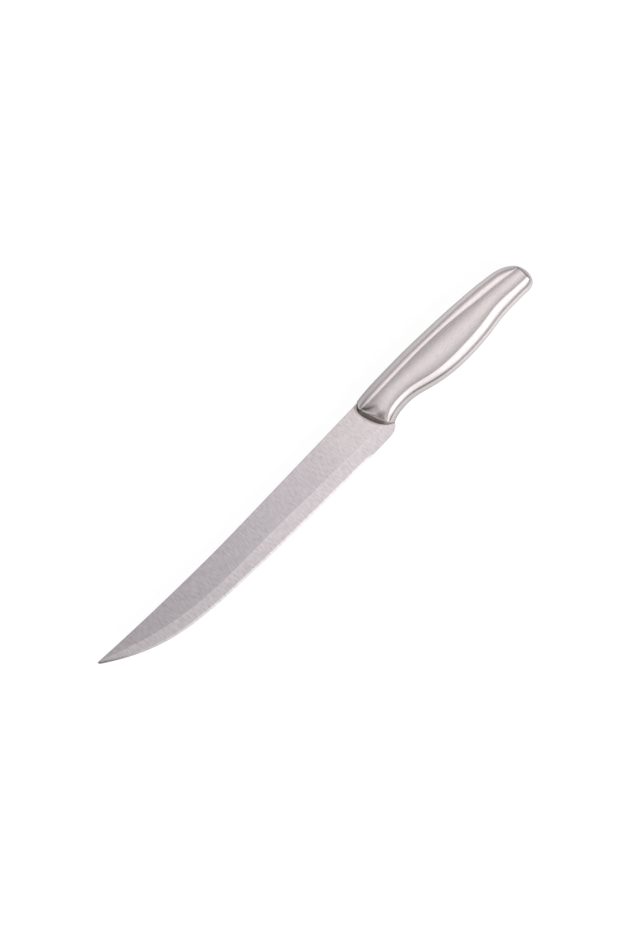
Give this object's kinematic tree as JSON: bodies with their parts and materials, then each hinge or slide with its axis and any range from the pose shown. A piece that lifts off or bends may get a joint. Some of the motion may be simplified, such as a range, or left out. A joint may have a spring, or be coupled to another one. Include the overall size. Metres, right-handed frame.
{
  "type": "fillet knife",
  "caption": "All-steel fillet knife with a narrow upswept blade, a stub tang and a hollow pressed handle with rounded shoulders, a finger notch and a full belly.",
  "frame": {"origin": "centre of the underside of the knife's box, the knife lying on its right side", "axes": "+X from the butt to the tip, +Y from the spine to the cutting edge, +Z out of the left side of the blade"},
  "size_m": [0.3202, 0.032, 0.0159],
  "materials": {
    "blade_steel": "satin, ground across the blade",
    "handle_steel": "satin, polished along the handle",
    "cement": "cast resin cement, hidden in the handle"
  },
  "bodies": {
    "root": {"blade": "blade_steel", "handle_shell_left": "handle_steel", "handle_shell_right": "handle_steel", "tang_filler": "cement"}
  },
  "joints": []
}
